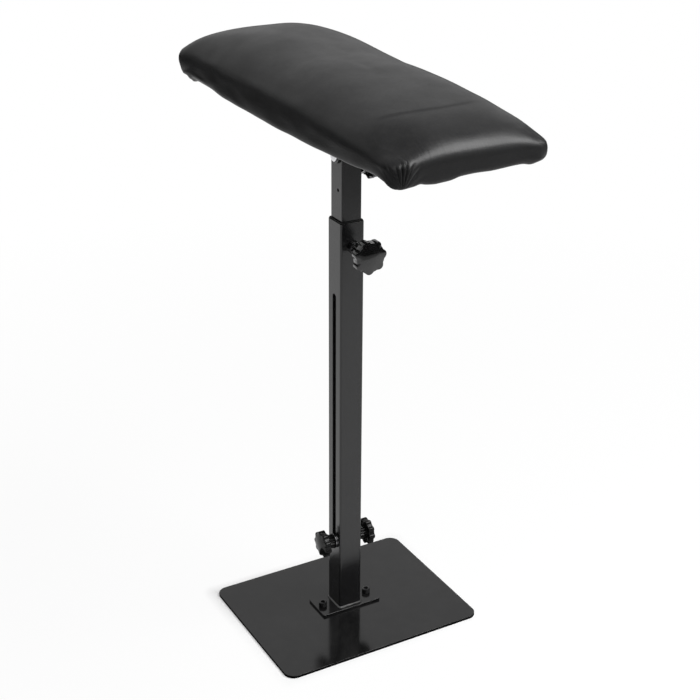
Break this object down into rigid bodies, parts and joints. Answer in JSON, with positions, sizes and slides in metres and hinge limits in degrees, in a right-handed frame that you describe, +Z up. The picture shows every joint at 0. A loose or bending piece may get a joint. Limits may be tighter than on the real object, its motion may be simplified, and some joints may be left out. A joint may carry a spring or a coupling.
{
  "type": "tattoo leg rest",
  "caption": "Padded leg rest that tilts on a telescoping square post with clamp knobs, on a flat rectangular foot plate.",
  "frame": {"origin": "foot of the post's axis on the base plate's underside", "axes": "+Z up along the post, +X along the base plate's long edges, -Y towards the clamp knob at the front"},
  "size_m": [0.265, 0.485, 0.6978],
  "materials": {
    "black_enamel": "satin black enamel on steel plate",
    "post_enamel": "satin black enamel on square tube",
    "weld_bead": "painted weld bead",
    "black_screw": "blackened steel",
    "black_nylon": "matt black nylon",
    "knob_plastic": "glossy moulded black plastic",
    "zinc_steel": "bright zinc plate",
    "staple_wire": "galvanised wire",
    "plywood": "raw birch plywood",
    "pad_foam": "open-cell foam",
    "black_leather": "smooth satin synthetic leather",
    "dust_cloth": "black non-woven cloth"
  },
  "bodies": {
    "base": {"base_plate": "black_enamel", "foot_flange": "black_enamel", "foot_weld": "weld_bead", "flange_screws": "black_screw", "outer_tube": "post_enamel", "clamp_nut": "black_screw", "guide_bush": "black_nylon"},
    "clamp_screw": {"clamp_knob": "knob_plastic", "clamp_stud": "zinc_steel"},
    "mast": {"mast_tube": "post_enamel", "glide_plug": "black_nylon", "cross_block": "zinc_steel", "mast_cap": "black_nylon", "pivot_sleeve": "zinc_steel", "tilt_nut": "zinc_steel", "left_washer": "zinc_steel", "right_washer": "zinc_steel", "tilt_washer": "zinc_steel"},
    "left_screw": {"left_knob": "knob_plastic", "left_stud": "zinc_steel"},
    "right_screw": {"right_knob": "knob_plastic", "right_stud": "zinc_steel"},
    "tilt_screw": {"tilt_knob": "knob_plastic", "tilt_stud": "zinc_steel"},
    "pad": {"tilt_bracket": "black_enamel", "pivot_bolt": "zinc_steel", "pivot_washer": "zinc_steel", "pivot_nut": "zinc_steel", "bracket_screws": "zinc_steel", "tee_nuts": "zinc_steel", "pad_board": "plywood", "pad_foam": "pad_foam", "pad_cover": "black_leather", "dust_cover": "dust_cloth", "cover_staples": "staple_wire"}
  },
  "joints": [
    {"name": "height_slide", "type": "slide", "parent": "base", "child": "mast", "axis": [0, 0, 1], "range_m": [0, 0.3245]},
    {"name": "pad_tilt", "type": "hinge", "parent": "mast", "child": "pad", "pos_m": [0, 0, 0.588], "axis": [1, 0, 0], "range_deg": [-40, 40]},
    {"name": "clamp_turn", "type": "hinge", "parent": "base", "child": "clamp_screw", "pos_m": [0, -0.015, 0.4855], "axis": [0, -1, 0], "range_deg": [0, 720]},
    {"name": "left_turn", "type": "hinge", "parent": "mast", "child": "left_screw", "pos_m": [-0.015, 0, 0.098], "axis": [-1, 0, 0], "range_deg": [0, 720]},
    {"name": "right_turn", "type": "hinge", "parent": "mast", "child": "right_screw", "pos_m": [0.015, 0, 0.098], "axis": [1, 0, 0], "range_deg": [0, 720]},
    {"name": "tilt_turn", "type": "hinge", "parent": "mast", "child": "tilt_screw", "pos_m": [0.0149, 0, 0.572], "axis": [1, 0, 0], "range_deg": [0, 720]}
  ]
}
